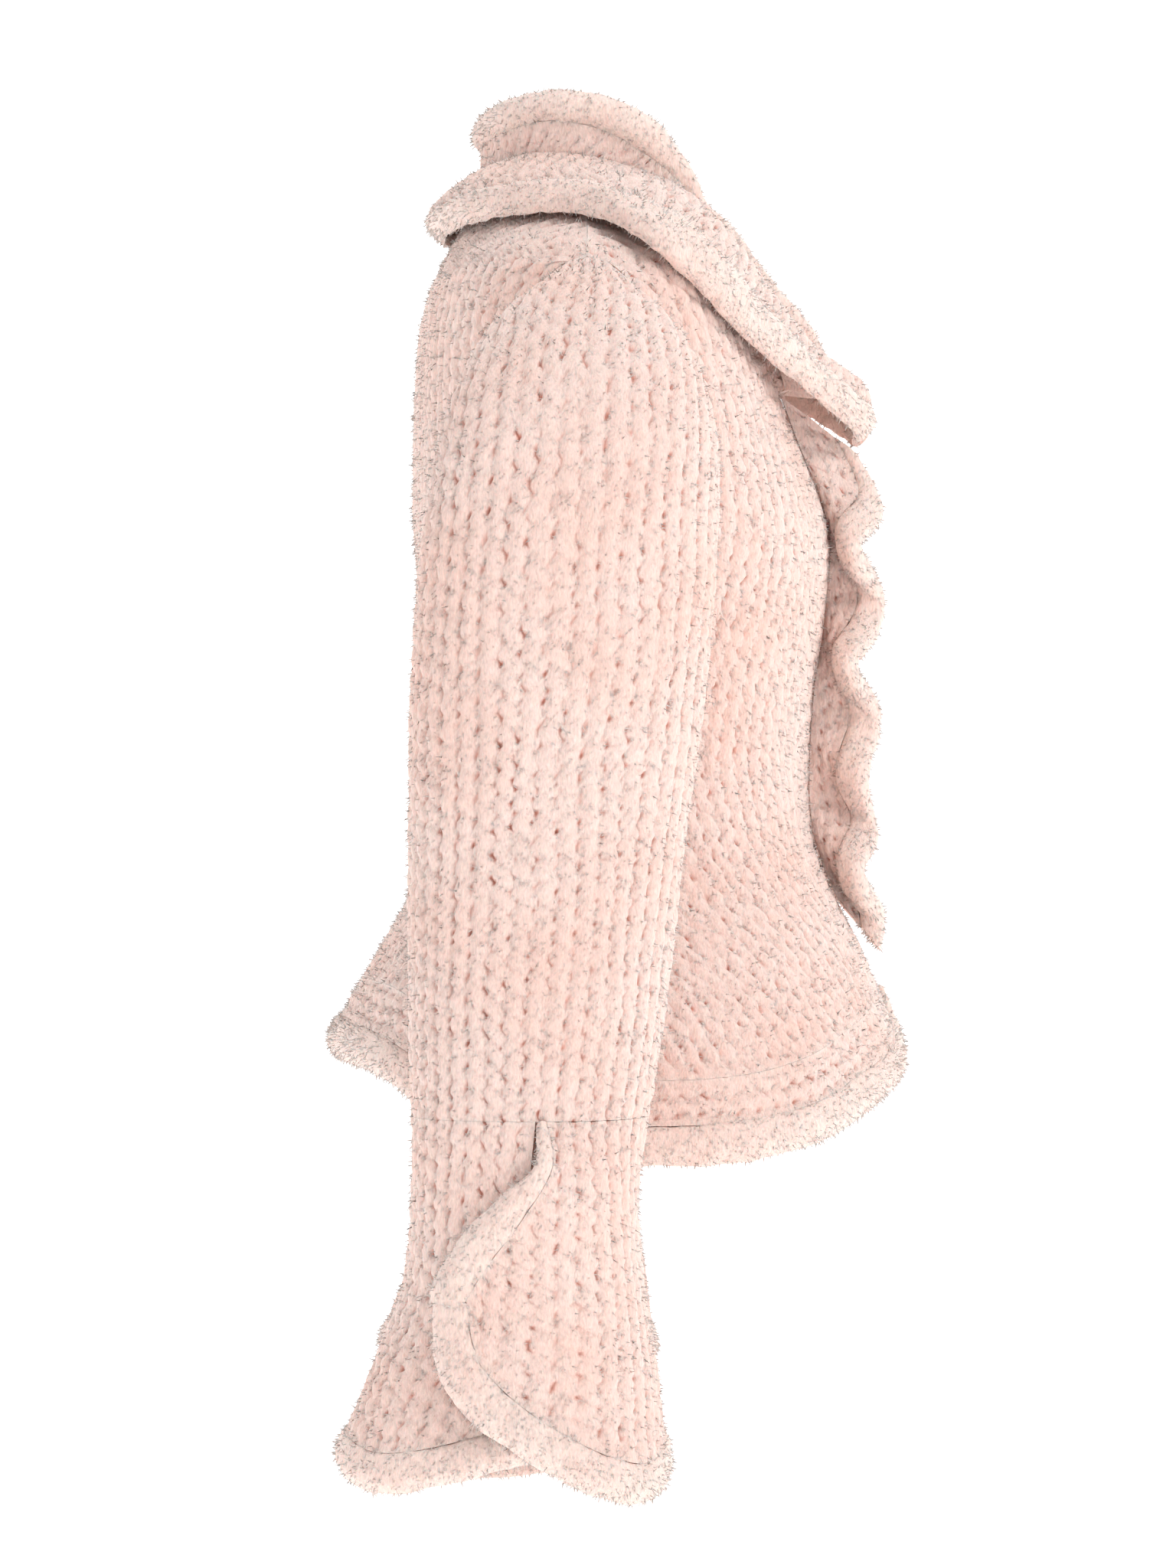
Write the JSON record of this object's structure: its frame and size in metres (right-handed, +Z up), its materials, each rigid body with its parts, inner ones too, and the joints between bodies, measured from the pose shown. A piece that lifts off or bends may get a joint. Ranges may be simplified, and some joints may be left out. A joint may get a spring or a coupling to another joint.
{
  "type": "knitted fur jacket",
  "caption": "Fitted knitted fur jacket with long sleeves, lapped bell cuffs, a standing collar with a fall and ruffled front edges, shown filled out as worn.",
  "frame": {"origin": "middle of the neck opening at the base of the standing collar, where the jacket is hung or worn", "axes": "+Z up along the body, -Y to the wearer's front, -X to the wearer's right"},
  "size_m": [0.7214, 0.3395, 0.7866],
  "materials": {
    "knitted_fur": "knitted fur strips, soft pile",
    "smooth_fur": "short dense pile, matt"
  },
  "bodies": {
    "root": {"front_right": "knitted_fur", "front_left": "knitted_fur", "back": "knitted_fur", "hem_border_front_right": "knitted_fur", "hem_border_front_left": "knitted_fur", "hem_border_back": "knitted_fur", "hem_edging_front_right": "smooth_fur", "hem_edging_front_left": "smooth_fur", "hem_edging_back": "smooth_fur", "sleeve_right": "knitted_fur", "sleeve_left": "knitted_fur", "cuff_right": "knitted_fur", "cuff_left": "knitted_fur", "cuff_edging_right": "smooth_fur", "cuff_edging_left": "smooth_fur", "collar_stand": "knitted_fur", "collar_roll": "smooth_fur", "collar_fall": "knitted_fur", "collar_fall_edging": "smooth_fur", "ruffle_right": "knitted_fur", "ruffle_left": "knitted_fur", "ruffle_edging_right": "smooth_fur", "ruffle_edging_left": "smooth_fur"}
  },
  "joints": []
}
